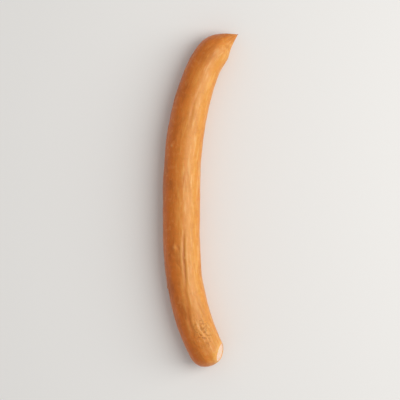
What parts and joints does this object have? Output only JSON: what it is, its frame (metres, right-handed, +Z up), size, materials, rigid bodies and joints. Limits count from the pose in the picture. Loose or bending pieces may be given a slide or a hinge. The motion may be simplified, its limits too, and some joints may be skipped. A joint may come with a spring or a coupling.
{
  "type": "smoked sausage",
  "caption": "Thin smoked sausage link in a natural casing, bowed on its side, with a pinched, pointed tip and a round end trimmed flat where its link was cut off.",
  "frame": {"origin": "on the surface it lies on, under the middle of its bounding box", "axes": "+Z up from that surface, +Y along the sausage from the cut end to the pointed tip, +X towards the hollow side of its bow"},
  "size_m": [0.0412, 0.1834, 0.0202],
  "materials": {
    "smoked_skin": "smoked golden-brown casing, semi-gloss, mottled, creased lengthwise",
    "meat": "pale pink fine-ground meat, moist"
  },
  "bodies": {
    "root": {"sausage": "smoked_skin"}
  },
  "joints": []
}
